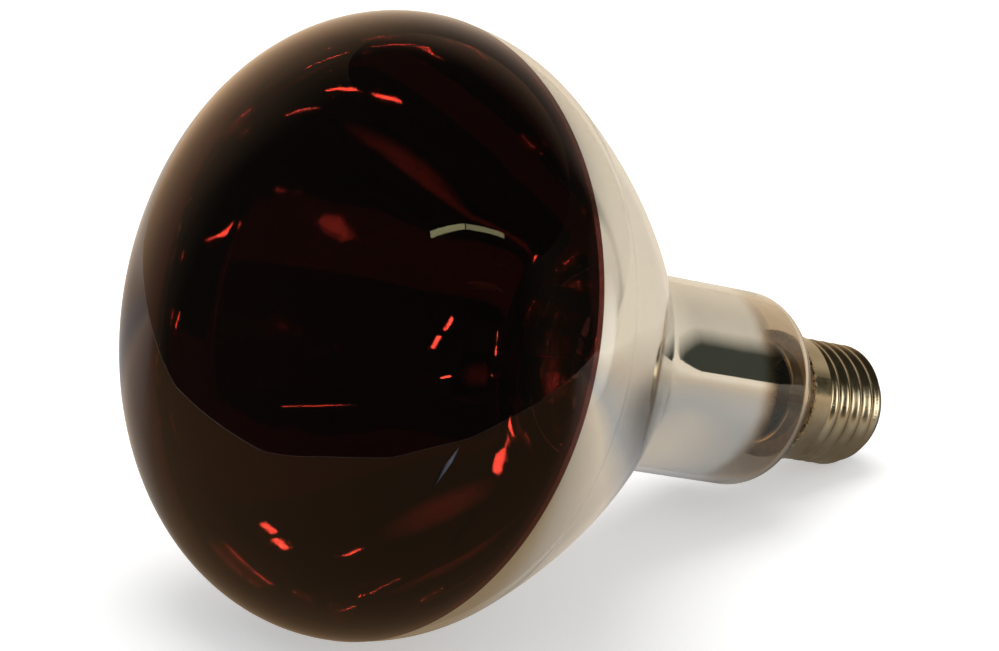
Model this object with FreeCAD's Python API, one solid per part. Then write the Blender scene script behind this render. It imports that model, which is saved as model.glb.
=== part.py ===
import FreeCAD, Part

import math
import os

from FreeCAD import Vector

# An infrared reflector lamp that lies on its side, as it comes to rest on a table.
# Every piece is built along the lamp's own axis: z runs from the ruby face to the centre contact,
# and angles are taken round that axis, with 90 degrees on the side that the lamp lies on.
# One placement at the end lays the finished lamp down. Lengths are in millimetres, angles in degrees.

# Bulb: one blown glass wall, measured outside and over the ruby coat where it is widest.
bulb_d = 125.0
wall = 1.1
coat_t = 0.2
crown_end_angle = -81.4
dome_arc_r = 66.7
dome_end_angle = -67.1
brow_arc_r = 37.5
brow_end_angle = -49.9
face_corner_r = 24.2
rim_arc_r = 30.0
rim_end_angle = 25.5
bowl_arc_r = 168.0
bowl_end_angle = 39.7
waist_arc_r = 83.0
waist_end_angle = 50.4
neck_d = 41.4
mirror_neck_l = 24.8
clear_neck_l = 12.0
shoulder_arc_r = 4.2
shoulder_end_angle = 72.0
stub_arc_r = 3.5
stub_l = 11.0

# Screw cap: a drawn shell with a rolled thread, filled at its end by a glass insulator.
rim_gap = 2.0
rim_flange_r = 13.95
rim_flange_t = 0.7
rim_notches = 48
rim_notch_r = 0.42
skirt_r = 13.55
skirt_l = 5.6
shell_t = 0.3
shell_l = 24.0
crest_d = 26.3
root_d = 24.3
cement_t = 1.45
thread_pitch = 3.629
last_crest_back = 3.5
thread_rise_l = 1.9
thread_fade_l = 1.8
thread_rows = 8
thread_columns = 28
skirt_step = 0.2
end_draw_in = 1.0
lip_r = 10.8
lip_t = 0.35
lip_step = 0.15
insulator_inner_t = 2.6
insulator_gap = 0.2
insulator_flange_r = 11.2
insulator_flange_t = 0.6
insulator_cone_l = 2.7
insulator_tip_r = 5.9
contact_r = 5.0
contact_t = 1.2
contact_edge_r = 0.4
contact_hole_r = 1.3
solder_recess = 0.05
side_solder_r = 1.5

# Stem: the glass foot that carries the leads, the exhaust tube and the arbor.
flare_rim_t = 1.1
flare_l = 8.5
flare_tube_r = 5.6
flare_tube_t = 0.9
flare_tube_l = 16.5
pinch_l = 6.0
press_l = 9.0
press_half_w = 7.0
press_half_t = 2.3
exhaust_r = 2.0
exhaust_bore_r = 1.2
exhaust_tip_l = 2.5
exhaust_l = 29.0
arbor_r = 1.9
arbor_l = 18.5
button_r = 3.4
shield_t = 0.4
shield_edge_gap = 1.2
shield_back = 7.0
shield_collar_l = 2.4
shield_lead_hole_r = 2.0

# Wires and the filament, a coiled ring with a gap on the lying side.
lead_r = 0.5
lead_spread = 4.2
lead_in_press = 3.0
outer_lead_r = 0.35
outer_lead_spread = 3.3
outer_lead_drop = 1.8
outer_lead_bend_r = 2.0
lead_bend_r = 4.0
rim_lead_bend_r = 1.0
rim_lead_gap = 0.1
filament_ring_r = 14.0
filament_coil_r = 0.8
filament_half_gap = 25.0
filament_ahead = 15.0
clamp_t = 0.35
clamp_turn = 13.0
lead_straight_l = 13.0
lead_tip_l = 5.0
support_r = 0.3
support_angles = (10.0, 170.0, 235.0, 305.0)
support_hook_turn = 265.0
support_root_r = 1.5
hook_clear = 0.02
lying_side = 90.0

# Where the seam of each turned wall lies, so that a flat of its mesh, not a corner, is on the floor.
seam_angle = -30.5


# Radii of the rolled wall: its bore, the stub that the bore takes, its middle and half its wave.
shell_bore_r = root_d / 2 - shell_t
stub_r = shell_bore_r - cement_t
thread_mid_r = (crest_d + root_d) / 4
crest_wave = (crest_d - root_d) / 4


def sin(angle):
    return math.sin(math.radians(angle))


def cos(angle):
    return math.cos(math.radians(angle))


def in_section(z, r):
    """A point of the half section, which stands in the plane through the axis and angle 0."""
    return Vector(r, 0, z)


class Outline:
    """The bulb's outer line as tangent arcs and straights, from the face's middle to the stub's end.

    The angle of a point is that of its outward normal: -90 looks out of the face, 0 looks sideways.
    """

    def __init__(self):
        self.z = 0.0
        self.r = 0.0
        self.angle = -90.0
        self.spans = []
        self.marks = {"apex": (0.0, 0.0)}

    def arc(self, mark, radius, end_angle):
        """Goes on along an arc to the given normal angle. A hollow arc has a negative radius."""
        centre_z = self.z - radius * sin(self.angle)
        centre_r = self.r - radius * cos(self.angle)
        self.spans.append((mark, centre_z, centre_r, radius, self.angle, end_angle, 0.0))
        self.z = centre_z + radius * sin(end_angle)
        self.r = centre_r + radius * cos(end_angle)
        self.angle = end_angle
        self.marks[mark] = (self.z, self.r)

    def straight(self, mark, length):
        self.spans.append((mark, self.z, self.r, 0.0, self.angle, self.angle, length))
        self.z += length * cos(self.angle)
        self.r -= length * sin(self.angle)
        self.marks[mark] = (self.z, self.r)

    def edges(self, offset, first, last):
        """The spans after mark first up to mark last, moved outwards by offset."""
        found = []
        wanted = first == "apex"
        for mark, span_z, span_r, radius, start_angle, end_angle, length in self.spans:
            if wanted:
                reach = radius + offset
                points = []
                for angle in (start_angle, (start_angle + end_angle) / 2, end_angle):
                    points.append(in_section(span_z + reach * sin(angle), span_r + reach * cos(angle)))
                if length:
                    along = Vector(-sin(start_angle), 0, cos(start_angle)) * length
                    found.append(Part.LineSegment(points[0], points[0] + along).toShape())
                else:
                    found.append(Part.Arc(*points).toShape())
            if mark == last:
                return found
            if mark == first:
                wanted = True
        return found


def bulb_outline():
    line = Outline()
    widest_r = bulb_d / 2 - coat_t
    crown_end_r = widest_r - face_corner_r * (1 - cos(brow_end_angle))
    crown_end_r -= brow_arc_r * (cos(brow_end_angle) - cos(dome_end_angle))
    crown_end_r -= dome_arc_r * (cos(dome_end_angle) - cos(crown_end_angle))
    line.arc("crown_end", crown_end_r / cos(crown_end_angle), crown_end_angle)
    line.arc("dome_end", dome_arc_r, dome_end_angle)
    line.arc("brow_end", brow_arc_r, brow_end_angle)
    line.arc("ring", face_corner_r, 0.0)
    line.arc("rim_end", rim_arc_r, rim_end_angle)
    line.arc("bowl_end", bowl_arc_r, bowl_end_angle)
    line.arc("waist_end", waist_arc_r, waist_end_angle)
    neck_fillet_r = (line.r - neck_d / 2) / (1 - cos(waist_end_angle))
    line.arc("neck_start", -neck_fillet_r, 0.0)
    line.straight("mirror_end", mirror_neck_l)
    line.straight("neck_end", clear_neck_l)
    line.arc("shoulder_end", shoulder_arc_r, shoulder_end_angle)
    arcs_drop = (shoulder_arc_r + stub_arc_r) * (1 - cos(shoulder_end_angle))
    line.straight("web_end", (neck_d / 2 - stub_r - arcs_drop) / sin(shoulder_end_angle))
    line.arc("stub_start", -stub_arc_r, 0.0)
    line.straight("stub_end", stub_l)
    return line


bulb = bulb_outline()

# Heights along the axis that several pieces share.
ring_z = bulb.marks["ring"][0]
stub_end_z = bulb.marks["stub_end"][0]
cap_rim_z = bulb.marks["stub_start"][0] + rim_gap
skirt_end_z = cap_rim_z + skirt_l
shell_end_z = cap_rim_z + shell_l
lip_end_z = shell_end_z + lip_t
cone_start_z = lip_end_z + insulator_flange_t
contact_z = cone_start_z + insulator_cone_l
tip_z = contact_z + contact_t
last_crest_z = shell_end_z - last_crest_back
flare_foot_z = stub_end_z + flare_rim_t
flare_top_z = flare_foot_z - flare_l
pinch_z = flare_top_z - flare_tube_l
press_foot_z = pinch_z - pinch_l
press_top_z = press_foot_z - press_l
button_z = press_top_z - arbor_l - button_r / 2
shield_z = press_top_z - shield_back
filament_z = button_z - filament_ahead
lead_joint_z = press_top_z + lead_in_press


def section(points):
    """Edges of a closed section through (z, r) points."""
    corners = [in_section(z, r) for z, r in points]
    return Part.makePolygon(corners + corners[:1]).Edges


def turned(edges, start_angle=seam_angle, turn=360.0):
    """The solid that a closed section makes round the lamp's axis."""
    face = Part.Face(Part.Wire(Part.__sortEdges__(edges)))
    face.rotate(Vector(), Vector(0, 0, 1), start_angle)
    return face.revolve(Vector(), Vector(0, 0, 1), turn)


def wall_between(outer_offset, inner_offset, first, last):
    """The layer between two offsets of the bulb's outline."""
    outer = bulb.edges(outer_offset, first, last)
    inner = bulb.edges(inner_offset, first, last)
    ends = [
        Part.LineSegment(outer[0].firstVertex().Point, inner[0].firstVertex().Point).toShape(),
        Part.LineSegment(outer[-1].lastVertex().Point, inner[-1].lastVertex().Point).toShape(),
    ]
    return turned(outer + inner + ends)


def ring_torus(radius, start_angle, turn):
    """A bar of round section that runs along the filament's ring."""
    circle = Part.makeCircle(radius, in_section(filament_z, filament_ring_r), Vector(0, 1, 0))
    return turned([circle], start_angle, turn)


def swept(path_edges, radius):
    """A round wire along a path of tangent edges."""
    path = Part.Wire(path_edges)
    start = path_edges[0].firstVertex().Point
    heading = path_edges[0].tangentAt(path_edges[0].FirstParameter)
    circle = Part.Wire(Part.makeCircle(radius, start, heading))
    return path.makePipeShell([circle], True, True)


def bent_wire(points, radius, bend_r):
    """A round wire through the points, with an arc of bend_r at each one between the ends."""
    edges = []
    start = points[0]
    for before, corner, after in zip(points, points[1:], points[2:]):
        heading_in = (corner - before).normalize()
        heading_out = (after - corner).normalize()
        half_turn = heading_in.getAngle(heading_out) / 2
        cut_back = bend_r * math.tan(half_turn)
        inward = (heading_out - heading_in).normalize()
        middle = corner + inward * (bend_r / math.cos(half_turn) - bend_r)
        arc_start = corner - heading_in * cut_back
        arc_end = corner + heading_out * cut_back
        edges.append(Part.LineSegment(start, arc_start).toShape())
        edges.append(Part.Arc(arc_start, middle, arc_end).toShape())
        start = arc_end
    edges.append(Part.LineSegment(start, points[-1]).toShape())
    return swept(edges, radius)


def glass_envelope():
    return wall_between(0.0, -wall, "apex", "stub_end")


def ruby_coat():
    return wall_between(coat_t, 0.0, "apex", "ring")


def mirror_coat():
    return wall_between(-wall, -wall - coat_t, "ring", "mirror_end")


def smooth_step(value, start, end):
    """Rises from 0 to 1 between start and end, level at both."""
    share = min(max((value - start) / (end - start), 0.0), 1.0)
    return share * share * (3 - 2 * share)


def thread_radius(z, angle):
    """Outer radius of the rolled wall: a right-hand wave that grows out of the skirt and dies at the end."""
    start_r = skirt_r - skirt_step
    grown = smooth_step(z, skirt_end_z, skirt_end_z + thread_rise_l)
    faded = smooth_step(z, shell_end_z - thread_fade_l, shell_end_z)
    middle_r = start_r + (thread_mid_r - start_r) * grown - end_draw_in * faded
    turns = (z - last_crest_z) / thread_pitch - (angle - lying_side) / 360.0
    return middle_r + crest_wave * grown * (1 - faded) * math.cos(2 * math.pi * turns)


def wavy_core(inset):
    """The solid inside the rolled wave, whose side is a smooth surface moved in by inset."""
    rows = round(thread_rows * (shell_end_z - skirt_end_z) / thread_pitch)
    grid = []
    for row in range(rows + 1):
        z = skirt_end_z + (shell_end_z - skirt_end_z) * row / rows
        ring = []
        for column in range(thread_columns + 1):
            angle = 360.0 * (column % thread_columns) / thread_columns - lying_side
            r = thread_radius(z, angle) - inset
            ring.append(Vector(r * cos(angle), r * sin(angle), z))
        grid.append(ring)
    side = Part.BSplineSurface()
    side.interpolate(grid)
    faces = [side.toShape()]
    rims = [edge for edge in faces[0].Edges if edge.BoundBox.ZLength < thread_rise_l / 2]
    faces.extend(Part.Face(Part.Wire(rim)) for rim in rims)
    skin = Part.makeShell(faces)
    skin.sewShape()
    core = Part.Solid(skin)
    if core.Volume < 0:
        core.reverse()
    return core


def rolled_wall():
    """The threaded wall of the shell, with the wave on its outside and its inside."""
    return wavy_core(0.0).cut(wavy_core(shell_t))


def skirt_ring():
    """The plain skirt, its step down to the thread, and the rim flange with its row of notches."""
    bore_r = skirt_r - shell_t
    foot_r = skirt_r - shell_t / 2 - skirt_step
    ring = turned(
        section(
            [
                (cap_rim_z, bore_r),
                (cap_rim_z, rim_flange_r),
                (cap_rim_z + rim_flange_t, rim_flange_r),
                (cap_rim_z + rim_flange_t, skirt_r),
                (skirt_end_z, skirt_r),
                (skirt_end_z, foot_r),
                (skirt_end_z - shell_t, foot_r),
                (skirt_end_z - shell_t, bore_r),
            ]
        )
    )
    notches = []
    for number in range(rim_notches):
        notch = Part.makeCylinder(
            rim_notch_r, rim_flange_t * 3, Vector(rim_flange_r + rim_notch_r / 2, 0, cap_rim_z - rim_flange_t)
        )
        notch.rotate(Vector(), Vector(0, 0, 1), number * 360.0 / rim_notches)
        notches.append(notch)
    return ring.cut(Part.makeCompound(notches))


def screw_shell():
    """The drawn cap shell: rim flange, skirt, rolled thread and the lip that holds the insulator."""
    lip_outer_r = thread_mid_r - end_draw_in - lip_step
    lip = turned(
        section([(shell_end_z, lip_r), (shell_end_z, lip_outer_r), (lip_end_z, lip_outer_r - lip_t), (lip_end_z, lip_r)])
    )
    return skirt_ring().fuse([rolled_wall(), lip])


def cap_insulator():
    """The glass plug of the cap, moulded through the shell's lip, with a hole for the live lead."""
    inner_z = shell_end_z - insulator_inner_t
    inner_r = thread_mid_r - end_draw_in - shell_t - insulator_gap
    return turned(
        section(
            [
                (inner_z, contact_hole_r),
                (inner_z, inner_r),
                (shell_end_z, inner_r),
                (shell_end_z, lip_r),
                (lip_end_z, lip_r),
                (lip_end_z, insulator_flange_r),
                (cone_start_z, insulator_flange_r),
                (contact_z, insulator_tip_r),
                (contact_z, contact_hole_r),
            ]
        )
    )


def centre_contact():
    plate = Part.makeCylinder(contact_r, contact_t, Vector(0, 0, contact_z))
    rim = [edge for edge in plate.Edges if edge.Closed and abs(edge.CenterOfMass.z - tip_z) < contact_t / 4]
    hole = Part.makeCylinder(contact_hole_r, contact_t, Vector(0, 0, contact_z))
    return plate.makeFillet(contact_edge_r, rim).cut(hole)


def contact_solder(live_lead):
    """The solder that fills the contact's hole round the live lead's end, just below the contact's face."""
    fill = Part.makeCylinder(contact_hole_r, contact_t - solder_recess, Vector(0, 0, contact_z))
    return fill.cut(live_lead)


def cap_cement(return_lead):
    """The cement that fills the skirt round the glass stub, with a channel for the return lead."""
    ring = turned(
        section(
            [
                (cap_rim_z + rim_flange_t, stub_r),
                (cap_rim_z + rim_flange_t, skirt_r - shell_t),
                (skirt_end_z - shell_t, skirt_r - shell_t),
                (skirt_end_z - shell_t, stub_r),
            ]
        )
    )
    return ring.cut(return_lead)


def side_solder(return_lead):
    """The drop of solder that joins the return lead to the rim, on the side turned from the view."""
    centre = Vector(-rim_flange_r + side_solder_r / 3, 0, cap_rim_z)
    drop = Part.makeSphere(side_solder_r, centre, Vector(0, 0, -1), 0.0, 90.0)
    return drop.cut(return_lead)


def stem_glass(embedded):
    """The stem: its flared foot welded to the stub, its tube, and the flat press round the leads."""
    bore_r = flare_tube_r - flare_tube_t
    flare_mid = (flare_foot_z - flare_l * 0.6, flare_tube_r + (stub_r - flare_tube_r) * 0.18)
    outer = Part.Arc(
        in_section(stub_end_z, stub_r - wall), in_section(*flare_mid), in_section(flare_top_z, flare_tube_r)
    ).toShape()
    inner = Part.Arc(
        in_section(flare_foot_z, stub_r - wall),
        in_section(flare_mid[0] + flare_tube_t * 0.7, flare_mid[1] - flare_tube_t * 0.7),
        in_section(flare_top_z, bore_r),
    ).toShape()
    lines = [
        ((stub_end_z, stub_r - wall), (stub_end_z, stub_r)),
        ((stub_end_z, stub_r), (flare_foot_z, stub_r)),
        ((flare_foot_z, stub_r), (flare_foot_z, stub_r - wall)),
        ((flare_top_z, flare_tube_r), (pinch_z, flare_tube_r)),
        ((pinch_z, flare_tube_r), (pinch_z, bore_r)),
        ((pinch_z, bore_r), (flare_top_z, bore_r)),
    ]
    edges = [outer, inner]
    for start, end in lines:
        edges.append(Part.LineSegment(in_section(*start), in_section(*end)).toShape())
    flare = turned(edges)
    round_end = Part.Wire(Part.makeCircle(flare_tube_r, Vector(0, 0, pinch_z)))
    flat_shape = Part.Ellipse(Vector(0, 0, press_foot_z), press_half_w, press_half_t)
    flat_end = Part.Wire(flat_shape.toShape())
    pinch = Part.makeLoft([round_end, flat_end], True)
    press = Part.Face(flat_end).extrude(Vector(0, 0, -press_l))
    return flare.fuse([pinch, press]).removeSplitter().cut(embedded)


def exhaust_tube():
    """The tube that the bulb was pumped through, closed by melting at its tip."""
    end_z = pinch_z + exhaust_l
    tip_start_z = end_z - exhaust_tip_l
    return turned(
        section(
            [
                (pinch_z, exhaust_bore_r),
                (pinch_z, exhaust_r),
                (tip_start_z, exhaust_r),
                (end_z, exhaust_r / 3),
                (end_z, 0.0),
                (tip_start_z + exhaust_tip_l / 3, 0.0),
                (tip_start_z, exhaust_bore_r),
            ]
        )
    )


def arbor_rod(support_wires):
    """The glass rod on top of the press, with the button that the support wires are set in."""
    rod = Part.makeCylinder(arbor_r, press_top_z - button_z, Vector(0, 0, button_z))
    button = Part.makeSphere(button_r, Vector(0, 0, button_z))
    return rod.fuse(button).cut(support_wires)


def heat_shield_disc():
    """The metal disc across the neck, with a drawn collar on the arbor and holes that clear the leads."""
    edge_r = neck_d / 2 - wall - coat_t - shield_edge_gap
    disc = Part.makeCylinder(edge_r, shield_t, Vector(0, 0, shield_z))
    collar = Part.makeCylinder(arbor_r + shield_t, shield_collar_l, Vector(0, 0, shield_z))
    holes = [Part.makeCylinder(arbor_r, shield_collar_l, Vector(0, 0, shield_z))]
    for side in (-1, 1):
        holes.append(Part.makeCylinder(shield_lead_hole_r, shield_t, Vector(side * lead_spread, 0, shield_z)))
    return disc.fuse(collar).cut(holes)


def filament():
    """The coiled tungsten ring, as the bar that its coil fills."""
    start_angle = lying_side + filament_half_gap
    return ring_torus(filament_coil_r, start_angle, 360.0 - 2 * filament_half_gap)


def filament_clamp(side):
    """The crimped sleeve on one end of the filament."""
    middle = lying_side - side * (filament_half_gap + clamp_turn / 2)
    sleeve = ring_torus(filament_coil_r + clamp_t, middle - clamp_turn / 2, clamp_turn)
    return sleeve.cut(ring_torus(filament_coil_r, middle - clamp_turn, 2 * clamp_turn))


def inner_lead(side, clamp):
    """The stiff lead from the press to the clamp on its end of the filament."""
    angle = lying_side - side * (filament_half_gap + clamp_turn / 2)
    end = Vector(filament_ring_r * cos(angle), filament_ring_r * sin(angle), filament_z)
    foot = Vector(side * lead_spread, 0, lead_joint_z)
    knee = Vector(side * lead_spread, 0, press_top_z - lead_straight_l)
    points = [foot, knee, end + Vector(0, 0, lead_tip_l), end]
    whole = bent_wire(points, lead_r, lead_bend_r)
    bore = ring_torus(filament_coil_r + clamp_t / 2, angle - clamp_turn, 2 * clamp_turn)
    return max(whole.cut([clamp, bore]).Solids, key=lambda solid: solid.Volume)


def live_lead():
    """The outer lead that runs past the exhaust tube to the centre contact."""
    knee_z = pinch_z + exhaust_l
    points = [
        Vector(outer_lead_spread, 0, lead_joint_z),
        Vector(outer_lead_spread, 0, knee_z),
        Vector(0, 0, shell_end_z - insulator_inner_t),
        Vector(0, 0, tip_z - 2 * solder_recess),
    ]
    return bent_wire(points, outer_lead_r, outer_lead_bend_r)


def return_lead():
    """The outer lead that folds up outside the stub and over the shell's rim."""
    fold_z = flare_foot_z + outer_lead_drop
    fold_r = (stub_r + shell_bore_r) / 2
    rim_z = cap_rim_z - outer_lead_r - rim_lead_gap
    points = [
        Vector(-outer_lead_spread, 0, lead_joint_z),
        Vector(-outer_lead_spread, 0, fold_z),
        Vector(-fold_r, 0, fold_z),
        Vector(-fold_r, 0, rim_z),
        Vector(-rim_flange_r, 0, rim_z),
    ]
    return bent_wire(points, outer_lead_r, rim_lead_bend_r)


def support_wire(angle):
    """A straight wire from the button, ending in a hook round the filament."""
    hook_r = filament_coil_r + support_r + hook_clear
    root = in_section(button_z, support_root_r)
    centre = in_section(filament_z, filament_ring_r)
    reach = centre - root
    run = math.sqrt(reach.Length**2 - hook_r**2)
    lean = math.degrees(math.asin(hook_r / reach.Length))
    heading = FreeCAD.Rotation(Vector(0, 1, 0), -lean).multVec(reach).normalize()
    touch = root + heading * run
    spoke = touch - centre
    hook_points = []
    for share in (0.5, 1.0):
        turn = FreeCAD.Rotation(Vector(0, 1, 0), support_hook_turn * share)
        hook_points.append(centre + turn.multVec(spoke))
    path = [
        Part.LineSegment(root, touch).toShape(),
        Part.Arc(touch, *hook_points).toShape(),
    ]
    wire = swept(path, support_r)
    wire.rotate(Vector(), Vector(0, 0, 1), angle)
    return wire


def all_pieces():
    """Each piece under its node's name, built round the lamp's own axis."""
    clamps = {1: filament_clamp(1), 2: filament_clamp(-1)}
    inner_leads = {1: inner_lead(1, clamps[1]), 2: inner_lead(-1, clamps[2])}
    supports = [support_wire(angle) for angle in support_angles]
    to_contact = live_lead()
    to_rim = return_lead()
    pieces = {
        "glass_envelope": glass_envelope(),
        "ruby_coat": ruby_coat(),
        "mirror_coat": mirror_coat(),
        "stem_glass": stem_glass([*inner_leads.values(), to_contact, to_rim]),
        "exhaust_tube": exhaust_tube(),
        "arbor_rod": arbor_rod(supports),
        "heat_shield_disc": heat_shield_disc(),
        "filament": filament(),
        "live_lead": to_contact,
        "return_lead": to_rim,
        "screw_shell": screw_shell(),
        "cap_cement": cap_cement(to_rim),
        "cap_insulator": cap_insulator(),
        "centre_contact": centre_contact(),
        "contact_solder": contact_solder(to_contact),
        "side_solder": side_solder(to_rim),
    }
    for number in (1, 2):
        pieces[f"filament_clamp_{number}"] = clamps[number]
        pieces[f"inner_lead_{number}"] = inner_leads[number]
    for number, wire in enumerate(supports, start=1):
        pieces[f"support_wire_{number}"] = wire
    return pieces


def lay_down(pieces):
    """Lays the lamp on its bowl and the thread's last crest, over the middle of its own footprint.

    The floor touches two round forms: the arc behind the bulb's widest ring, and the crest's top, whose
    radius is that of the wave there. The axis leans by the angle of the line that touches both.
    """
    rim_centre_r = bulb_d / 2 - coat_t - rim_arc_r
    crest_top_r = 1 / (crest_wave * (2 * math.pi / thread_pitch) ** 2)
    across = rim_centre_r - (crest_d / 2 - crest_top_r)
    along = last_crest_z - ring_z
    lean = math.acos((crest_top_r - rim_arc_r) / math.hypot(across, along)) - math.atan2(along, across)
    height = rim_centre_r * math.cos(lean) + ring_z * math.sin(lean) + rim_arc_r
    turn = FreeCAD.Rotation(Vector(1, 0, 0), -90.0 - math.degrees(lean))
    for piece in pieces.values():
        piece.Placement = FreeCAD.Placement(Vector(0, 0, height), turn).multiply(piece.Placement)
    reach = Part.makeCompound(list(pieces.values())).optimalBoundingBox(False, False)
    for piece in pieces.values():
        piece.translate(Vector(0, -reach.Center.y, 0))
    print(f"lean {math.degrees(lean):.3f} deg, height {height:.3f} mm, shift {-reach.Center.y:.3f} mm")
    return pieces


os.makedirs("parts", exist_ok=True)
for name, piece in lay_down(all_pieces()).items():
    piece.exportStep(f"parts/{name}.step")
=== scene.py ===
import math
from collections import namedtuple

import bpy
from bpy.props import FloatProperty, FloatVectorProperty, IntProperty, PointerProperty
from mathutils import Matrix, Vector


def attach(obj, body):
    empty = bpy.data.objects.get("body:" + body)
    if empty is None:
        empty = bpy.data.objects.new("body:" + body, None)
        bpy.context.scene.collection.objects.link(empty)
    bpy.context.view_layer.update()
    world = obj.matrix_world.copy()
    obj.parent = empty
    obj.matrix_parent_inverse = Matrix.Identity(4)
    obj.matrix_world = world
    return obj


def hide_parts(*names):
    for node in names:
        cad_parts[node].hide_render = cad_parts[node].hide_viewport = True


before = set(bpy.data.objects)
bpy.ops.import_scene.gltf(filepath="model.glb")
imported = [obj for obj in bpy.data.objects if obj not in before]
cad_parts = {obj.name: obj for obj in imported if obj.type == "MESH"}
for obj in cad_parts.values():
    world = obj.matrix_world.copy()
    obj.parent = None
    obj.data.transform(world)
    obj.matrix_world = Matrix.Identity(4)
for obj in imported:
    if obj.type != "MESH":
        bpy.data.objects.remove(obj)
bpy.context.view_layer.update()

bl_info = {
    "name": "Infrared heat lamp bulb",
    "version": (1, 0, 0),
    "blender": (4, 5, 0),
    "location": "View3D > Sidebar > Heat lamp",
    "description": "Dresses the heat lamp bulb's solids with smooth glass, coats, metal and a studio",
    "category": "Object",
}

MM = 0.001
WHITE = (1.0, 1.0, 1.0, 1.0)

# The lamp lies on its bowl and its thread. These carry its own axis, z from the face, into the frame.
LEAN = math.radians(20.253)
LIE_DOWN = Matrix.Translation((0.0, -0.079541, 0.071032)) @ Matrix.Rotation(-math.pi / 2 - LEAN, 4, "X")
AXIS = LIE_DOWN.to_3x3() @ Vector((0, 0, 1))
APEX = LIE_DOWN.translation.copy()

# The bulb's outline: the name of each arc, its radius, and the angle of the outward normal at its end in
# degrees, where -90 looks out of the face and 0 looks sideways. The crown's radius follows from the others.
CROWN_END = -81.4
FACE_ARCS = (("dome", 66.7 * MM, -67.1), ("brow", 37.5 * MM, -49.9), ("corner", 24.2 * MM, 0.0))
BOWL_ARCS = (("rim", 30.0 * MM, 25.5), ("bowl", 168.0 * MM, 39.7), ("waist", 83.0 * MM, 50.4))
NECK_ROOT_END = 7.0
NECK_EASE_R = 60.0 * MM
CLEAR_NECK_L = 8.0 * MM
SHOULDER_R = 4.2 * MM
SHOULDER_END = 72.0
STUB_ROOT_R = 3.5 * MM
STUB_L = 11.0 * MM

# The ruby lies on the outline's first spans. The mirror lines the next ones, and starts under the ruby's edge
# by an angle of the corner's arc.
FACE_SPANS = 4
MIRROR_SPANS = 10
MIRROR_UNDER_RUBY = 6.0

# Distances along the axis from the face's middle: where the mirror's mesh ends on the neck, where its film
# turns brown and where it fades out, and how far these two wander.
MIRROR_END = 129.997 * MM
BROWN_EDGE = (0.1265, 0.1325)
FADING_EDGE = (0.1285, 0.1335)
EDGE_WANDER = 0.006

# Facets in an arc of one radian and 1 mm radius. They grow with the root of the radius.
ARC_FACETS = 3.2
WELD = 1e-6

# The filament: its coil, its wire, its height, half the gap in its ring, and the lean of each turn.
COIL_R = 0.62 * MM
WIRE_R = 0.14 * MM
FILAMENT_Z = 83.844 * MM
HALF_GAP = 25.0
TURN_LEAN = 0.12

# The photograph's view: where the camera stands, and the way that it looks.
EYE = Vector((0.700636, -0.650074, 0.376740))
SIGHT = Vector((-0.70156857, 0.63430178, -0.32475036))
LENS = 178.42

# The studio: its floor, the white added to it in the view, and the world's level as a light.
FLOOR_R = 0.8
FLOOR_LIFT = 0.42
WORLD_LEVEL = 0.55

# The room that gloss shows: its wall, its table just above the floor, the colours of its unlit side, its
# backdrop and its small lamps, and the place by the face that the lamps' directions start from.
ROOM_R = 1.3
ROOM_TOP = 1.2
TABLE_R = 0.78
TABLE_Z = 0.4 * MM
UNLIT = (0.036, 0.034, 0.028)
BACKDROP = (0.62, 0.55, 0.45)
WARM = (1.0, 0.9, 0.75)
SEEN_FROM = Vector((0.0, -0.07, 0.06))

# Light that has crossed more faces of glass than this has been inside the bulb and out again.
INSIDE_CROSSINGS = 6.5


class LampSizes(bpy.types.PropertyGroup):
    """Sizes of the lamp's blown glass and of its filament."""

    diameter: FloatProperty(
        name="Diameter", description="Widest circle, over the coat", default=0.125, unit="LENGTH"
    )
    wall: FloatProperty(name="Wall", description="Thickness of the glass", default=0.0011, unit="LENGTH")
    coat: FloatProperty(name="Coat", description="Thickness of each coat", default=0.0002, unit="LENGTH")
    air: FloatProperty(
        name="Air", description="Air between a coat and its glass", default=0.00002, unit="LENGTH"
    )
    neck: FloatProperty(name="Neck", description="Diameter of the neck", default=0.0414, unit="LENGTH")
    stub: FloatProperty(
        name="Stub", description="Diameter of the glass in the cap", default=0.0208, unit="LENGTH"
    )
    ring: FloatProperty(name="Filament ring", description="Radius of the ring", default=0.014, unit="LENGTH")
    turns: IntProperty(name="Turns", description="Turns of the filament's coil", default=96, min=8)
    steps: IntProperty(name="Steps", description="Facets round the glass", default=180, min=24)


class LampColours(bpy.types.PropertyGroup):
    """Colours of the lamp's finishes and of the studio."""

    ruby: FloatVectorProperty(
        name="Ruby", description="Tint of the ruby coat", subtype="COLOR", default=(0.165, 0.045, 0.04)
    )
    glass: FloatVectorProperty(
        name="Glass", description="Tint of the clear glass", subtype="COLOR", default=(0.97, 0.975, 0.965)
    )
    mirror: FloatVectorProperty(
        name="Mirror",
        description="Aluminium seen through the glass",
        subtype="COLOR",
        default=(0.86, 0.84, 0.81),
    )
    nickel: FloatVectorProperty(
        name="Nickel", description="Plated brass of the cap", subtype="COLOR", default=(0.53, 0.45, 0.31)
    )
    floor: FloatVectorProperty(
        name="Floor", description="Studio floor", subtype="COLOR", default=(0.88, 0.88, 0.88)
    )


def deselect_all():
    if bpy.context.object and bpy.context.object.mode != "OBJECT":
        bpy.ops.object.mode_set(mode="OBJECT")
    bpy.ops.object.select_all(action="DESELECT")


def pick_out(piece):
    deselect_all()
    piece.select_set(True)
    bpy.context.view_layer.objects.active = piece


def cosine(angle):
    return math.cos(math.radians(angle))


def sine(angle):
    return math.sin(math.radians(angle))


def scaled(colour, factor):
    return tuple(min(channel * factor, 1.0) for channel in colour)


# Finishes


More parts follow.
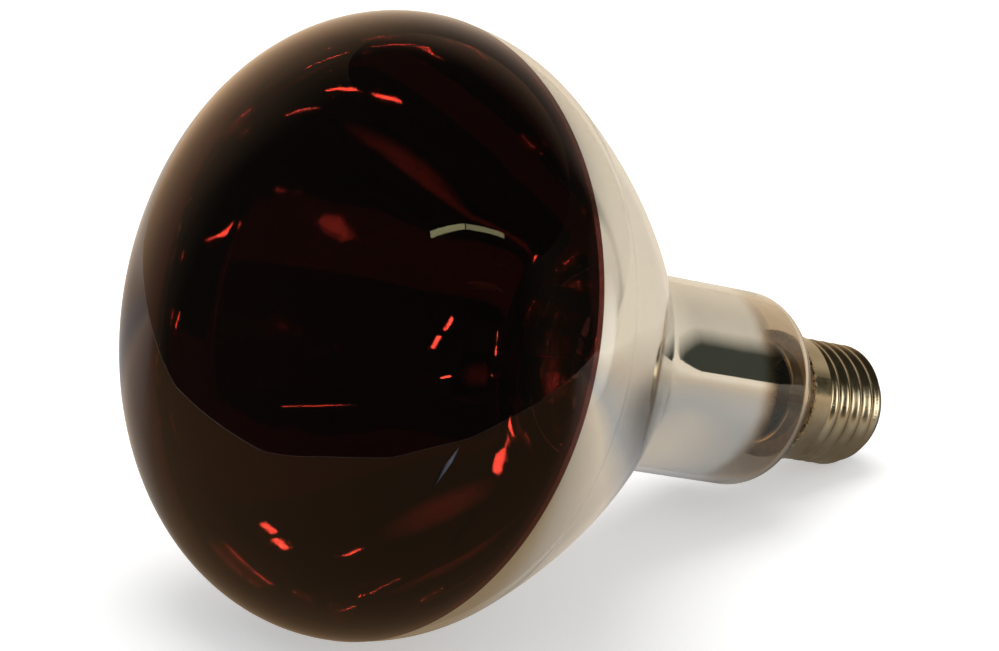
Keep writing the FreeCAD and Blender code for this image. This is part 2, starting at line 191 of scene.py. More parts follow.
class Nodes:
    """The nodes of a material or a world under construction."""

    def __init__(self, owner):
        owner.use_nodes = True
        self.nodes = owner.node_tree.nodes
        self.links = owner.node_tree.links

    def put(self, value, socket):
        """Feeds a socket with another node's output, or sets it to a constant."""
        if isinstance(value, bpy.types.NodeSocket):
            self.links.new(value, socket)
        else:
            socket.default_value = value

    def worked_out(self, first, operation, second):
        """A number worked out from two others."""
        node = self.nodes.new("ShaderNodeMath")
        node.operation = operation
        self.put(first, node.inputs[0])
        self.put(second, node.inputs[1])
        return node.outputs["Value"]

    def vector(self, first, operation, second, result="Vector"):
        """A vector, or the number named Value, worked out from a vector and a second operand."""
        node = self.nodes.new("ShaderNodeVectorMath")
        node.operation = operation
        self.put(first, node.inputs[0])
        self.put(second, node.inputs["Scale" if operation == "SCALE" else 1])
        return node.outputs[result]

    def reach(self, value, low, high, start=0.0, end=1.0, smooth=True):
        """The value carried from low..high to start..end, and held beyond them."""
        node = self.nodes.new("ShaderNodeMapRange")
        node.interpolation_type = "SMOOTHSTEP" if smooth else "LINEAR"
        for name, number in (("From Min", low), ("From Max", high), ("To Min", start), ("To Max", end)):
            node.inputs[name].default_value = number
        self.links.new(value, node.inputs["Value"])
        return node.outputs["Result"]

    def ramp(self, value, *stops):
        """Colours along the value. Each stop is a place and a colour, or a place and a grey."""
        node = self.nodes.new("ShaderNodeValToRGB")
        bar = node.color_ramp.elements
        while len(bar) < len(stops):
            bar.new(0.5)
        for element, (place, colour) in zip(bar, stops):
            element.position = place
            element.color = (*colour, 1.0) if isinstance(colour, tuple) else (colour, colour, colour, 1.0)
        self.links.new(value, node.inputs["Fac"])
        return node.outputs["Color"]


class Finish(Nodes):
    """A Principled surface under construction, and the patterns that feed it."""

    def __init__(self, name):
        self.material = bpy.data.materials.new(name)
        super().__init__(self.material)
        self.surface = self.nodes["Principled BSDF"]
        self.place = self.nodes.new("ShaderNodeTexCoord").outputs["Object"]

    def set(self, **values):
        for name, value in values.items():
            self.surface.inputs[name.replace("_", " ")].default_value = value
        return self

    def feed(self, name, output):
        self.links.new(output, self.surface.inputs[name])
        return self

    def base_colour(self):
        """The output that feeds the base colour so far."""
        return self.surface.inputs["Base Color"].links[0].from_socket

    def noise(self, scale, detail=3.0, stretch=None):
        """A cloud pattern. With a stretch it is turned to the lamp's axis first."""
        node = self.nodes.new("ShaderNodeTexNoise")
        node.inputs["Scale"].default_value = scale
        node.inputs["Detail"].default_value = detail
        source = self.place
        if stretch:
            mapping = self.nodes.new("ShaderNodeMapping")
            mapping.inputs["Rotation"].default_value = (math.pi / 2 + LEAN, 0, 0)
            mapping.inputs["Scale"].default_value = stretch
            self.links.new(source, mapping.inputs["Vector"])
            source = mapping.outputs["Vector"]
        self.links.new(source, node.inputs["Vector"])
        return node.outputs["Fac"]

    def blend(self, factor, first, second, kind="MIX"):
        """Two colours blended by a factor, which is a number or an output."""
        node = self.nodes.new("ShaderNodeMix")
        node.data_type = "RGBA"
        node.blend_type = kind
        self.put(factor, node.inputs["Factor"])
        colours = [socket for socket in node.inputs if socket.type == "RGBA"]
        self.links.new(first, colours[0])
        self.links.new(second, colours[1])
        return next(socket for socket in node.outputs if socket.type == "RGBA")

    def relief(self, height, distance, strength):
        node = self.nodes.new("ShaderNodeBump")
        node.inputs["Distance"].default_value = distance
        node.inputs["Strength"].default_value = strength
        self.links.new(height, node.inputs["Height"])
        return self.feed("Normal", node.outputs["Normal"])

    def from_face(self):
        """The place from the face's middle."""
        return self.vector(self.place, "SUBTRACT", APEX)

    def along_axis(self):
        """The distance from the face's middle, along the lamp's axis, in metres."""
        return self.vector(self.from_face(), "DOT_PRODUCT", AXIS, "Value")

    def along_wavy_axis(self):
        """The distance along the axis, with waves that make the mirror's edge wander on the neck."""
        wander = self.worked_out(self.noise(60.0, 3.0), "MULTIPLY", EDGE_WANDER)
        return self.worked_out(self.along_axis(), "ADD", wander)


def ruby_finish(colours):
    tint = tuple(colours.ruby)
    dark, light = scaled(tint, 0.9), scaled(tint, 1.08)
    made = Finish("ruby_lacquered_glass").set(Transmission_Weight=1.0, IOR=1.46)
    made.feed("Base Color", made.ramp(made.noise(28.0, 2.0), (0.3, dark), (0.7, light)))
    made.feed("Roughness", made.ramp(made.noise(90.0, 4.0), (0.35, 0.0), (0.8, 0.045)))
    return made.relief(made.noise(22.0, 1.0), 0.0004, 0.12)


def clear_glass_finish(name, colours):
    tint = tuple(colours.glass)
    made = Finish(name).set(Transmission_Weight=1.0, IOR=1.5)
    made.feed("Base Color", made.ramp(made.noise(40.0, 2.0), (0.3, scaled(tint, 0.985)), (0.7, tint)))
    made.feed("Roughness", made.ramp(made.noise(70.0, 4.0), (0.4, 0.0), (0.85, 0.03)))
    return made.relief(made.noise(18.0, 1.0), 0.0005, 0.1)


def bulb_glass_finish(colours):
    """Clear glass. Past the mirror's edge the neck's glass is tinted a warm brown."""
    made = clear_glass_finish("bulb_glass", colours)
    # Past the mirror's fading edge the glass's tint turns warm brown.
    past_mirror_edge = made.reach(made.along_wavy_axis(), *FADING_EDGE)
    haze = made.ramp(made.noise(30.0, 3.0), (0.3, (0.68, 0.59, 0.48)), (0.7, (0.76, 0.68, 0.57)))
    return made.feed("Base Color", made.blend(past_mirror_edge, made.base_colour(), haze))


def mirror_finish(colours):
    """Aluminium vaporised on the inside of the glass. It thins out in a soft, wavy edge on the neck."""
    tint = tuple(colours.mirror)
    made = Finish("vaporised_mirror").set(Metallic=1.0)
    bright = made.ramp(made.noise(16.0, 3.0), (0.3, scaled(tint, 0.93)), (0.75, scaled(tint, 1.06)))
    made.feed("Roughness", made.ramp(made.noise(34.0, 5.0), (0.3, 0.015), (0.8, 0.045)))
    made.relief(made.noise(55.0, 2.0, stretch=(1.0, 1.0, 0.35)), 0.0006, 0.16)
    edge = made.along_wavy_axis()
    brown = made.ramp(made.reach(edge, *BROWN_EDGE), (0.0, (1.0, 1.0, 1.0)), (1.0, (0.55, 0.42, 0.28)))
    made.feed("Base Color", made.blend(1.0, bright, brown, "MULTIPLY"))
    return made.feed("Alpha", made.reach(edge, *FADING_EDGE, 1.0, 0.0))


def metal_finish(name, tint, roughness, grain, tarnish=0.8, relief=0.00003):
    """Bare or plated metal: cloudy tarnish, uneven gloss and a fine drawn grain."""
    made = Finish(name).set(Metallic=1.0)
    stain = tuple(channel * share for channel, share in zip(scaled(tint, tarnish), (1.0, 0.93, 0.8)))
    made.feed("Base Color", made.ramp(made.noise(grain * 0.25, 4.0), (0.3, stain), (0.62, tint)))
    made.feed("Roughness", made.ramp(made.noise(grain, 5.0), (0.3, roughness * 0.7), (0.75, roughness * 1.4)))
    return made.relief(made.noise(grain * 2.0, 3.0, stretch=(1.0, 1.0, 0.2)), relief, 0.3)


def cap_shell_finish(tint):
    """Worn nickel on brass outside. Inside, the brown of baked cement, painted brighter to stand in for light
    that hardly reaches there.
    """
    made = metal_finish("nickel_plated_brass", tint, 0.2, 420.0, 0.72)
    on_axis = made.vector(AXIS, "SCALE", made.along_axis())
    out = made.vector(made.from_face(), "SUBTRACT", on_axis)
    normal = made.nodes.new("ShaderNodeTexCoord").outputs["Normal"]
    outside = made.worked_out(made.vector(out, "DOT_PRODUCT", normal, "Value"), "GREATER_THAN", 0.0)
    # Partly painted light: the inside is cement brown, made brighter and more saturated than the cement to
    # stand in for light that hardly reaches into the cap.
    cement = made.ramp(made.noise(300.0, 4.0), (0.3, (0.5, 0.27, 0.09)), (0.7, (0.8, 0.5, 0.2)))
    made.feed("Base Color", made.blend(outside, cement, made.base_colour()))
    return made.feed("Metallic", outside)


def matt_finish(name, dark, light, roughness, grain, relief):
    """Cast or sintered stuff with a granular face."""
    made = Finish(name)
    made.feed("Base Color", made.ramp(made.noise(grain, 5.0), (0.3, dark), (0.7, light)))
    made.feed("Roughness", made.ramp(made.noise(grain * 0.5), (0.3, roughness * 0.8), (0.7, roughness)))
    return made.relief(made.noise(grain * 1.5, 5.0), relief, 0.5)


# The blown bulb


# A span is an arc or a straight. A hollow arc's radius is negative, and a straight has none.
Span = namedtuple("Span", "name centre_r centre_z arc_r start end length")


def bulb_spans(sizes):
    """The bulb's outline from the face's middle to the stub's end, as tangent arcs and straights."""
    spans = []
    here = [0.0, 0.0, -90.0]

    def arc(name, arc_r, end):
        centre_r = here[0] - arc_r * cosine(here[2])
        centre_z = here[1] - arc_r * sine(here[2])
        spans.append(Span(name, centre_r, centre_z, arc_r, here[2], end, 0.0))
        here[:] = centre_r + arc_r * cosine(end), centre_z + arc_r * sine(end), end

    def straight(name, length):
        spans.append(Span(name, here[0], here[1], 0.0, here[2], here[2], length))
        here[0] -= length * sine(here[2])
        here[1] += length * cosine(here[2])

    crown_edge_r = sizes.diameter / 2 - sizes.coat
    inner = CROWN_END
    for _, arc_r, outer in FACE_ARCS:
        crown_edge_r -= arc_r * (cosine(outer) - cosine(inner))
        inner = outer
    arc("crown", crown_edge_r / cosine(CROWN_END), CROWN_END)
    for name, arc_r, end in (*FACE_ARCS, *BOWL_ARCS):
        arc(name, arc_r, end)
    root_drop = here[0] - sizes.neck / 2 - NECK_EASE_R * (1 - cosine(NECK_ROOT_END))
    arc("neck_root", -root_drop / (cosine(NECK_ROOT_END) - cosine(here[2])), NECK_ROOT_END)
    arc("neck_ease", -NECK_EASE_R, 0.0)
    straight("mirrored_neck", MIRROR_END - here[1])
    straight("clear_neck", CLEAR_NECK_L)
    arc("shoulder", SHOULDER_R, SHOULDER_END)
    arcs_drop = (SHOULDER_R + STUB_ROOT_R) * (1 - cosine(SHOULDER_END))
    straight("web", ((sizes.neck - sizes.stub) / 2 - arcs_drop) / sine(SHOULDER_END))
    arc("stub_root", -STUB_ROOT_R, 0.0)
    straight("stub", STUB_L)
    return spans


def span_start(span, offset):
    reach = span.arc_r + offset
    return span.centre_r + reach * cosine(span.start), span.centre_z + reach * sine(span.start)


def span_end(span, offset):
    reach = span.arc_r + offset
    r = span.centre_r + reach * cosine(span.end) - span.length * sine(span.end)
    return r, span.centre_z + reach * sine(span.end) + span.length * cosine(span.end)


def start_point(name, radius, height):
    """A new piece that is one point of its profile, in edit mode. A profile stands in the x-z plane."""
    deselect_all()
    bpy.ops.mesh.primitive_plane_add(size=MM, location=(radius, 0, height))
    piece = bpy.context.object
    piece.name = name
    piece.data.name = name
    bpy.ops.object.transform_apply(location=True, rotation=True, scale=True)
    bpy.ops.object.mode_set(mode="EDIT")
    bpy.ops.mesh.select_all(action="SELECT")
    bpy.ops.mesh.merge(type="CENTER")
    return piece


def draw_by(step_r, step_z):
    """Carries the profile's selected end straight on."""
    bpy.ops.mesh.extrude_region_move(TRANSFORM_OT_translate={"value": (step_r, 0, step_z)})


def draw_from(start, end):
    draw_by(end[0] - start[0], end[1] - start[1])


def draw_spans(spans, offset):
    """Carries the profile's selected end on along the spans, moved outwards by offset."""
    for span in spans:
        if span.length:
            draw_by(-span.length * sine(span.start), span.length * cosine(span.start))
            continue
        turn = math.radians(span.end - span.start)
        reach = abs(span.arc_r + offset)
        steps = max(4, round(abs(turn) * math.sqrt(reach / MM) * ARC_FACETS))
        centre = (span.centre_r, 0, span.centre_z)
        bpy.ops.mesh.spin(steps=steps, angle=turn, center=centre, axis=(0, 1, 0))


def draw_back(spans, offset):
    """Goes back along the spans, from the last one's end to the first one's start."""
    back = [span._replace(start=span.end, end=span.start, length=-span.length) for span in reversed(spans)]
    draw_spans(back, offset)


def turn_profile(piece, steps):
    """Spins the closed profile round the lamp's axis and welds the seam and the poles."""
    bpy.ops.mesh.select_all(action="SELECT")
    bpy.ops.mesh.remove_doubles(threshold=WELD)
    bpy.ops.mesh.select_all(action="SELECT")
    bpy.ops.mesh.spin(steps=steps, angle=2 * math.pi, center=(0, 0, 0), axis=(0, 0, 1))
    bpy.ops.mesh.select_all(action="SELECT")
    bpy.ops.mesh.remove_doubles(threshold=WELD)
    bpy.ops.mesh.normals_make_consistent(inside=False)
    bpy.ops.object.mode_set(mode="OBJECT")


def lay(piece, finish, slot, *nodes):
    """Lays a finished piece down in the frame, gives it its finish and lets it stand for its nodes."""
    pick_out(piece)
    piece.matrix_world = LIE_DOWN @ piece.matrix_world
    bpy.ops.object.transform_apply(location=True, rotation=True, scale=True)
    bpy.ops.object.shade_smooth_by_angle(angle=math.radians(40))
    piece.data.materials.clear()
    piece.data.materials.append(finish.material)
    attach(piece, "root")
    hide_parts(*nodes)


class LAMP_OT_bulb_glass(bpy.types.Operator):
    """Blow the bulb: one closed glass wall from the face to the stub"""

    bl_idname = "lamp.bulb_glass"
    bl_label = "Bulb glass"

    def execute(self, context):
        sizes = context.scene.lamp_sizes
        spans = bulb_spans(sizes)
        face, rest = spans[:FACE_SPANS], spans[FACE_SPANS:]
        piece = start_point("blown_bulb", *span_start(face[0], -sizes.air))
        draw_spans(face, -sizes.air)
        draw_from(span_end(face[-1], -sizes.air), span_start(rest[0], 0.0))
        draw_spans(rest, 0.0)
        draw_from(span_end(rest[-1], 0.0), span_end(rest[-1], -sizes.wall))
        draw_back(spans, -sizes.wall)
        turn_profile(piece, sizes.steps)
        lay(piece, bulb_glass_finish(context.scene.lamp_colours), "bulb_glass", "glass_envelope")
        return {"FINISHED"}


class LAMP_OT_ruby_face(bpy.types.Operator):
    """Coat the face and its corner with ruby"""

    bl_idname = "lamp.ruby_face"
    bl_label = "Ruby face"

    def execute(self, context):
        sizes = context.scene.lamp_sizes
        face = bulb_spans(sizes)[:FACE_SPANS]
        piece = start_point("ruby_face", *span_start(face[0], sizes.coat))
        draw_spans(face, sizes.coat)
        draw_from(span_end(face[-1], sizes.coat), span_end(face[-1], 0.0))
        draw_back(face, 0.0)
        turn_profile(piece, sizes.steps)
        lay(piece, ruby_finish(context.scene.lamp_colours), "ruby_coat", "ruby_coat")
        return {"FINISHED"}


class LAMP_OT_mirror_bowl(bpy.types.Operator):
    """Line the bowl and the neck with the mirror, from just under the ruby's edge"""

    bl_idname = "lamp.mirror_bowl"
    bl_label = "Mirror"

    def execute(self, context):
        sizes = context.scene.lamp_sizes
        spans = bulb_spans(sizes)
        under_ruby = spans[FACE_SPANS - 1]._replace(start=-MIRROR_UNDER_RUBY)
        lined = [under_ruby, *spans[FACE_SPANS:MIRROR_SPANS]]
        outer = -sizes.wall - sizes.air
        inner = -sizes.wall - sizes.coat
        piece = start_point("mirror_bowl", *span_start(lined[0], outer))
        draw_spans(lined, outer)
        draw_from(span_end(lined[-1], outer), span_end(lined[-1], inner))
        draw_back(lined, inner)
        draw_from(span_start(lined[0], inner), span_start(lined[0], outer))
        turn_profile(piece, sizes.steps)
        lay(piece, mirror_finish(context.scene.lamp_colours), "mirror_coat", "mirror_coat")
        return {"FINISHED"}


class LAMP_OT_filament_coil(bpy.types.Operator):
    """Wind the filament: rings of tungsten along the open ring, each leaning as a turn of a coil does"""

    bl_idname = "lamp.filament_coil"
    bl_label = "Filament"

    def execute(self, context):
        sizes = context.scene.lamp_sizes
        deselect_all()
        bpy.ops.mesh.primitive_torus_add(
            major_radius=COIL_R, minor_radius=WIRE_R, major_segments=14, minor_segments=5
        )
        first = bpy.context.object
        first.name = "filament_coil"
        turns = [first]
        for _ in range(1, sizes.turns):
            turn = first.copy()
            turn.data = first.data.copy()
            context.collection.objects.link(turn)
            turns.append(turn)
        start = math.radians(90.0 + HALF_GAP)
        span = math.radians(360.0 - 2 * HALF_GAP)
        for number, turn in enumerate(turns):
            angle = start + span * (number + 0.5) / sizes.turns
            place = Matrix.Rotation(angle, 4, "Z") @ Matrix.Translation((sizes.ring, 0, FILAMENT_Z))
            turn.matrix_world = place @ Matrix.Rotation(math.pi / 2 - TURN_LEAN, 4, "X")
        deselect_all()
        for turn in turns:
            turn.select_set(True)
        context.view_layer.objects.active = first
        bpy.ops.object.join()
        bpy.ops.object.transform_apply(location=True, rotation=True, scale=True)
        finish = metal_finish("drawn_tungsten", (0.36, 0.34, 0.32), 0.4, 900.0, relief=0.00001)
        lay(first, finish, "tungsten", "filament")
        return {"FINISHED"}


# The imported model's own pieces


def give(finish, *names):
    """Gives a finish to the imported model's named pieces."""
    for name in names:
        for slot in bpy.data.objects[name].material_slots:
            slot.material = finish.material


class LAMP_OT_metal_finishes(bpy.types.Operator):
    """Give the cap, the leads, the shield and the solder their metals"""

    bl_idname = "lamp.metal_finishes"
    bl_label = "Metal finishes"

    def execute(self, context):
        nickel = cap_shell_finish(tuple(context.scene.lamp_colours.nickel))
        shield = metal_finish("bright_shield_metal", (0.62, 0.61, 0.58), 0.25, 300.0)
        lead = metal_finish("nickel_lead_wire", (0.5, 0.49, 0.46), 0.3, 500.0)
        copper = metal_finish("coppered_lead_wire", (0.6, 0.36, 0.22), 0.35, 500.0)
        support = metal_finish("molybdenum_wire", (0.42, 0.42, 0.43), 0.35, 600.0)
        solder = metal_finish("dull_solder", (0.55, 0.55, 0.54), 0.42, 260.0, 0.7, 0.00012)
        contact = metal_finish("contact_metal", (0.6, 0.55, 0.45), 0.32, 350.0, 0.7)
        give(nickel, "screw_shell")
        give(shield, "heat_shield_disc")
        give(lead, "inner_lead_1", "inner_lead_2", "filament_clamp_1", "filament_clamp_2")
        give(copper, "live_lead", "return_lead")
        give(support, *(f"support_wire_{number}" for number in (1, 2, 3, 4)))
        give(solder, "contact_solder", "side_solder")
        give(contact, "centre_contact")
        return {"FINISHED"}


class LAMP_OT_glass_finishes(bpy.types.Operator):
    """Give the stem, the insulator and the cement their stuff"""

    bl_idname = "lamp.glass_finishes"
    bl_label = "Glass and cement finishes"

    def execute(self, context):
        stem = clear_glass_finish("stem_glass", context.scene.lamp_colours)
        black, sheen = (0.006, 0.006, 0.008), (0.02, 0.018, 0.02)
        insulator = matt_finish("black_cap_glass", black, sheen, 0.22, 160.0, 0.00005)
        cement = matt_finish("baked_cement", (0.4, 0.25, 0.13), (0.68, 0.47, 0.28), 0.95, 900.0, 0.0002)
        give(stem, "stem_glass", "exhaust_tube", "arbor_rod")
        give(insulator, "cap_insulator")
        give(cement, "cap_cement")
        return {"FINISHED"}


# The studio


class Glow(Nodes):
    """A card's material that gives out its own light, and the shades across it."""

    def __init__(self, name):
        self.material = bpy.data.materials.new(name)
        super().__init__(self.material)
        self.nodes.remove(self.nodes["Principled BSDF"])
        self.place = self.nodes.new("ShaderNodeTexCoord").outputs["Object"]

    def along(self, direction):
        return self.vector(self.place, "DOT_PRODUCT", direction, "Value")

    def apart(self, point):
        """The distance from a point."""
        return self.vector(self.place, "DISTANCE", point, "Value")

    def turn(self):
        """The angle round the table, from 0 to 1: a half looks to -y, and three quarters to +x."""
        angle = self.worked_out(self.along((1, 0, 0)), "ARCTAN2", self.along((0, -1, 0)))
        return self.reach(angle, -math.pi, math.pi, smooth=False)

    def deep(self):
        """1 for a ray that has been inside the bulb and out again, and 0 for one that has not."""
        crossed = self.nodes.new("ShaderNodeLightPath").outputs["Transmission Depth"]
        return self.worked_out(crossed, "GREATER_THAN", INSIDE_CROSSINGS)

    def shine(self, colour, strength=1.0):
        node = self.nodes.new("ShaderNodeEmission")
        self.put((*colour, 1.0) if isinstance(colour, tuple) else colour, node.inputs["Color"])
        self.put(strength, node.inputs["Strength"])
        return node.outputs["Emission"]

    def clear(self):
        """Nothing: what lies behind the card shows."""
        return self.nodes.new("ShaderNodeBsdfTransparent").outputs["BSDF"]

    def mix(self, share, first, second):
        node = self.nodes.new("ShaderNodeMixShader")
        self.links.new(share, node.inputs["Fac"])
        self.links.new(first, node.inputs[1])
        self.links.new(second, node.inputs[2])
        return node.outputs["Shader"]

    def done(self, shader):
        self.links.new(shader, self.nodes["Material Output"].inputs["Surface"])
        return self.material


def seen_only_in_gloss(card):
    """A card that shows in polished metal and glass, and neither in the view nor in the light."""
    card.visible_camera = False
    card.visible_diffuse = False
    card.visible_shadow = False
    card.visible_volume_scatter = False


def studio_floor(colours):
    """A pale floor that takes the lamp's shadow, lifted towards the backdrop's white in the view."""
    deselect_all()
    bpy.ops.mesh.primitive_circle_add(vertices=128, radius=FLOOR_R, fill_type="NGON", location=(0, 0, 0))
    floor = bpy.context.object
    floor.name = "studio_floor"
    pale = Finish("pale_floor").set(
        Base_Color=(*colours.floor, 1.0), Roughness=0.9, Specular_IOR_Level=0.0, Emission_Color=WHITE
    )
    in_view = pale.nodes.new("ShaderNodeLightPath").outputs["Is Camera Ray"]
    pale.feed("Emission Strength", pale.worked_out(in_view, "MULTIPLY", FLOOR_LIFT))
    floor.data.materials.append(pale.material)


def room_card(name, material):
    """Makes the active disc or wall a card of the room, its place in its mesh."""
    card = bpy.context.object
    card.name = name
    bpy.ops.object.transform_apply(location=True, rotation=True, scale=True)
    card.data.materials.append(material)
    seen_only_in_gloss(card)
    return card


def room_wall():
    """An unlit room before the lamp and a warm backdrop behind it."""
    wall = Glow("room_wall")
    turn = wall.turn()
    backdrop = wall.ramp(
        turn,
        (0.0, BACKDROP),
        (0.125, (0.66, 0.54, 0.4)),
        (0.19, (1.0, 0.72, 0.44)),
        (0.25, (0.8, 0.57, 0.34)),
        (0.85, BACKDROP),
    )
    unlit = wall.ramp(turn, (0.21, 0.0), (0.25, 0.28), (0.29, 0.7), (0.335, 1.0), (0.93, 1.0), (0.97, 0.0))
    gloom = wall.ramp(turn, (0.66, UNLIT), (0.74, (0.09, 0.078, 0.056)), (0.86, (0.05, 0.053, 0.04)))
    height = wall.reach(wall.along((0, 0, 1)), 0.1, 1.25, 1.3, 0.4)
    depth = 1.6
    middle = (0, 0, ROOM_TOP - depth / 2)
    deselect_all()
    bpy.ops.mesh.primitive_cylinder_add(
        vertices=144, radius=ROOM_R, depth=depth, end_fill_type="NOTHING", location=middle
    )
    room_card("room_wall", wall.done(wall.mix(unlit, wall.shine(backdrop, height), wall.shine(gloom))))


def room_ceiling():
    """A ceiling that is unlit before the lamp and warm behind it."""
    ceiling = Glow("room_ceiling")
    share = ceiling.reach(ceiling.along((-0.5, 0.866, 0)), 0.4, ROOM_R)
    shades = ceiling.mix(share, ceiling.shine(UNLIT), ceiling.shine((0.5, 0.36, 0.24)))
    deselect_all()
    bpy.ops.mesh.primitive_circle_add(vertices=96, radius=ROOM_R, fill_type="NGON", location=(0, 0, ROOM_TOP))
    room_card("room_ceiling", ceiling.done(shades))


def room_table():
    """The table that the lamp lies on, as gloss shows it, with painted shade: darker and brown before the
    lamp, pale behind it, and a painted shadow under the cap.
    """
    table = Glow("room_table")
    shade = table.ramp(
        table.reach(table.along((0.35, -0.94, 0)), 0.1, -0.2, smooth=False),
        (0.07, (0.26, 0.17, 0.09)),
        (0.14, (0.3, 0.22, 0.14)),
        (0.2, (0.43, 0.37, 0.3)),
        (0.36, (0.7, 0.6, 0.49)),
        (0.45, (0.46, 0.45, 0.44)),
        (0.56, (0.52, 0.47, 0.41)),
        (0.67, (0.62, 0.52, 0.41)),
        (0.93, (0.88, 0.77, 0.62)),
    )
    deselect_all()
    bpy.ops.mesh.primitive_circle_add(vertices=96, radius=TABLE_R, fill_type="NGON", location=(0, 0, TABLE_Z))
    # Painted shadow: the table's glow darkens round the place under the cap.
    painted_shadow_under_cap = table.reach(table.apart((0.0, 0.075, 0.0)), 0.01, 0.055, 0.4, 1.0)
    room_card("room_table", table.done(table.shine(shade, painted_shadow_under_cap)))


def strip_lamp(name, start, end, width, colour, radiance, inside_only=False, fade=0.0):
    """A long lamp of the room between two points, as a card that faces the table.

    It may show only to what has been inside the bulb, and it may fade out round its middle.
    """
    start, end = Vector(start), Vector(end)
    middle = (start + end) / 2
    along = (end - start).normalized()
    across = (-middle.normalized()).cross(along).normalized()
    turn = Matrix((along, across, along.cross(across))).transposed().to_4x4()
    lamp = Glow(name)
    level = lamp.worked_out(lamp.deep(), "MULTIPLY", radiance) if inside_only else radiance
    if fade:
        nearness = lamp.reach(lamp.apart(middle), 0.2 * fade, fade, 1.0, 0.0)
        level = lamp.worked_out(nearness, "MULTIPLY", level)
    deselect_all()
    bpy.ops.mesh.primitive_plane_add(size=1.0, location=(0, 0, 0))
    size = Matrix.Diagonal(((end - start).length, width, 1, 1))
    bpy.context.object.matrix_world = Matrix.Translation(middle) @ turn @ size
    card = room_card(name, lamp.done(lamp.shine(colour, level)))
    card.visible_glossy = not inside_only
    card.visible_transmission = inside_only


def toward(azimuth, elevation, distance):
    """A point seen from the face in a direction: azimuth from -y towards +x, in degrees."""
    level = distance * cosine(elevation)
    return SEEN_FROM + Vector((level * sine(azimuth), -level * cosine(azimuth), distance * sine(elevation)))


def room_lamps():
    """A tube lamp whose image lies on the face, and small lamps that glint in the mirror behind it."""
    tube = (0.9, 0.85, 0.45)
    strip_lamp("tube_lamp_1", toward(-11, 37.5, 1.2), toward(9, 47.6, 1.2), 0.03, tube, 5.0)
    strip_lamp("tube_lamp_2", toward(10, 47.9, 1.2), toward(44, 51, 1.2), 0.03, tube, 4.0)
    bluish, daylight = (0.72, 0.8, 1.0), (1.0, 0.98, 0.94)
    strip_lamp("table_gleam", toward(35, -8, 0.33), toward(36, -17, 0.16), 0.022, bluish, 2.4, fade=0.09)
    strip_lamp("cap_gleam", (0.14, 0.03, 0.05), (0.13, 0.11, 0.048), 0.11, daylight, 3.4, fade=0.062)
    red_spot = ((0.062, -0.086, 0.006), (0.1, -0.098, 0.006))
    strip_lamp("red_spot", *red_spot, 0.02, WARM, 6.0, inside_only=True, fade=0.022)
    ceiling_glow = (toward(33, 27, 1.0), toward(33, 51, 1.0))
    strip_lamp("ceiling_glow", *ceiling_glow, 0.4, WARM, 1.8, inside_only=True, fade=0.21)
    glints = (
        ((16, 25), (20, 38), 0.035, 80.0),
        ((20, 39), (28, 47), 0.04, 60.0),
        ((48, 8), (51, 15), 0.016, 140.0),
        ((53, 18), (56, 25), 0.016, 140.0),
        ((51, 40), (55, 41), 0.016, 120.0),
        ((-39, 40), (-43, 46), 0.045, 90.0),
        ((-91, 40), (-91, 45), 0.05, 80.0),
        ((-28, 3), (-10, -9), 0.03, 40.0),
        ((80, 51), (92, 48), 0.004, 45.0),
    )
    for number, (start, end, width, radiance) in enumerate(glints, start=1):
        ends = (toward(*start, 1.0), toward(*end, 1.0))
        strip_lamp(f"glint_lamp_{number}", *ends, width, WARM, radiance, inside_only=True)


def bowl_gleam():
    """The backdrop as the bowl shows it beside the ruby's edge, seen in the mirror and not on the ruby."""
    middle = Vector((0.145, 0.1, 0.102))
    facing = Vector((0.055, -0.03, 0.08)) - middle
    gleam = Glow("bowl_gleam")
    shallow = gleam.reach(gleam.deep(), 0.0, 1.0, 1.0, 0.0)
    nearness = gleam.reach(gleam.apart(middle), 0.048, 0.078, 1.0, 0.0)
    share = gleam.worked_out(nearness, "MULTIPLY", shallow)
    shades = gleam.mix(share, gleam.clear(), gleam.shine((0.79, 0.7, 0.575)))
    deselect_all()
    bpy.ops.mesh.primitive_circle_add(vertices=64, radius=0.1, fill_type="NGON", location=(0, 0, 0))
    turn = facing.to_track_quat("Z", "Y").to_matrix().to_4x4()
    bpy.context.object.matrix_world = Matrix.Translation(middle) @ turn
    card = room_card("bowl_gleam", gleam.done(shades))
    card.visible_glossy = False


def soft_box(name, place, target, size, power, colour):
    light = bpy.data.lights.new(name, "AREA")
    light.shape = "DISK"
    light.size = size
    light.energy = power
    light.color = colour
    lamp = bpy.data.objects.new(name, light)
    place, target = Vector(place), Vector(target)
    turn = (target - place).to_track_quat("-Z", "Y").to_matrix().to_4x4()
    lamp.matrix_world = Matrix.Translation(place) @ turn
    lamp.visible_glossy = False
    lamp.visible_transmission = False
    bpy.context.collection.objects.link(lamp)


def studio_world():
    """White behind the object in the view, in gloss and through glass, and a softer white light."""
    world = bpy.data.worlds.new("white_backdrop")
    bpy.context.scene.world = world
    sky = Nodes(world)
    world.cycles.sampling_method = "NONE"
    path = sky.nodes.new("ShaderNodeLightPath").outputs
    sharp = sky.worked_out(path["Is Camera Ray"], "MAXIMUM", path["Is Glossy Ray"])
    seen = sky.worked_out(sharp, "MAXIMUM", path["Is Transmission Ray"])
    background = sky.nodes["Background"].inputs
    sky.put(sky.reach(seen, 0.0, 1.0, WORLD_LEVEL, 1.0, smooth=False), background["Strength"])
    sky.put(WHITE, background["Color"])


def camera_at_photo():
    lens = bpy.data.cameras.new("photo_view")
    lens.lens = LENS
    lens.sensor_width = 36.0
    lens.clip_start = 0.05
    camera = bpy.data.objects.new("photo_view", lens)
    camera.matrix_world = Matrix.Translation(EYE) @ SIGHT.to_track_quat("-Z", "Y").to_matrix().to_4x4()
    bpy.context.collection.objects.link(camera)
    bpy.context.scene.camera = camera


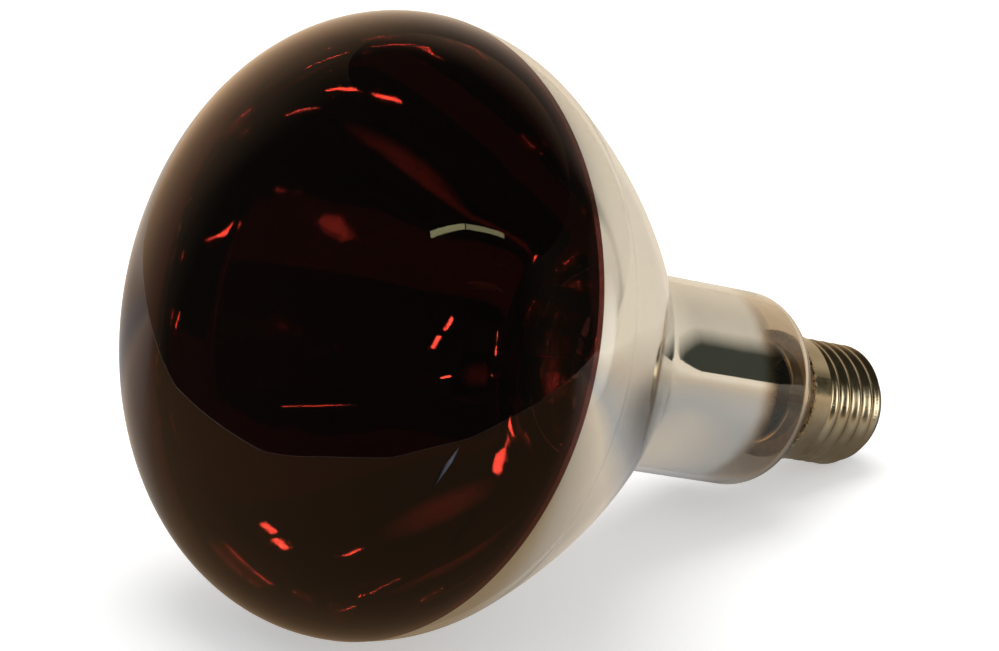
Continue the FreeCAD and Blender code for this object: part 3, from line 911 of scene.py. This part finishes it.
class LAMP_OT_studio(bpy.types.Operator):
    """Set up the floor, the backdrop, the room, the lamps and the camera"""

    bl_idname = "lamp.studio"
    bl_label = "Studio"

    def execute(self, context):
        context.scene.view_settings.view_transform = "Standard"
        camera_at_photo()
        studio_world()
        studio_floor(context.scene.lamp_colours)
        room_wall()
        room_ceiling()
        room_table()
        room_lamps()
        bowl_gleam()
        soft_box("overhead_soft_box", (-0.3, 0.2, 1.0), (0, 0, 0.05), 0.9, 6.0, (1.0, 0.99, 0.97))
        return {"FINISHED"}


class LAMP_PT_pieces(bpy.types.Panel):
    """The lamp's sizes and colours, and a button for each of its pieces"""

    bl_idname = "LAMP_PT_pieces"
    bl_label = "Heat lamp bulb"
    bl_space_type = "VIEW_3D"
    bl_region_type = "UI"
    bl_category = "Heat lamp"

    def draw(self, context):
        for group in (context.scene.lamp_sizes, context.scene.lamp_colours):
            column = self.layout.column(align=True)
            for name in group.__annotations__:
                column.prop(group, name)
        for operator in OPERATORS:
            self.layout.operator(operator.bl_idname)


OPERATORS = (
    LAMP_OT_bulb_glass,
    LAMP_OT_ruby_face,
    LAMP_OT_mirror_bowl,
    LAMP_OT_filament_coil,
    LAMP_OT_metal_finishes,
    LAMP_OT_glass_finishes,
    LAMP_OT_studio,
)
CLASSES = (LampSizes, LampColours, *OPERATORS, LAMP_PT_pieces)


def register():
    for made in CLASSES:
        bpy.utils.register_class(made)
    bpy.types.Scene.lamp_sizes = PointerProperty(type=LampSizes)
    bpy.types.Scene.lamp_colours = PointerProperty(type=LampColours)


def unregister():
    del bpy.types.Scene.lamp_colours
    del bpy.types.Scene.lamp_sizes
    for made in reversed(CLASSES):
        bpy.utils.unregister_class(made)


def main():
    register()
    bpy.ops.lamp.bulb_glass()
    bpy.ops.lamp.ruby_face()
    bpy.ops.lamp.mirror_bowl()
    bpy.ops.lamp.filament_coil()
    bpy.ops.lamp.metal_finishes()
    bpy.ops.lamp.glass_finishes()
    bpy.ops.lamp.studio()


if __name__ == "__main__":
    main()
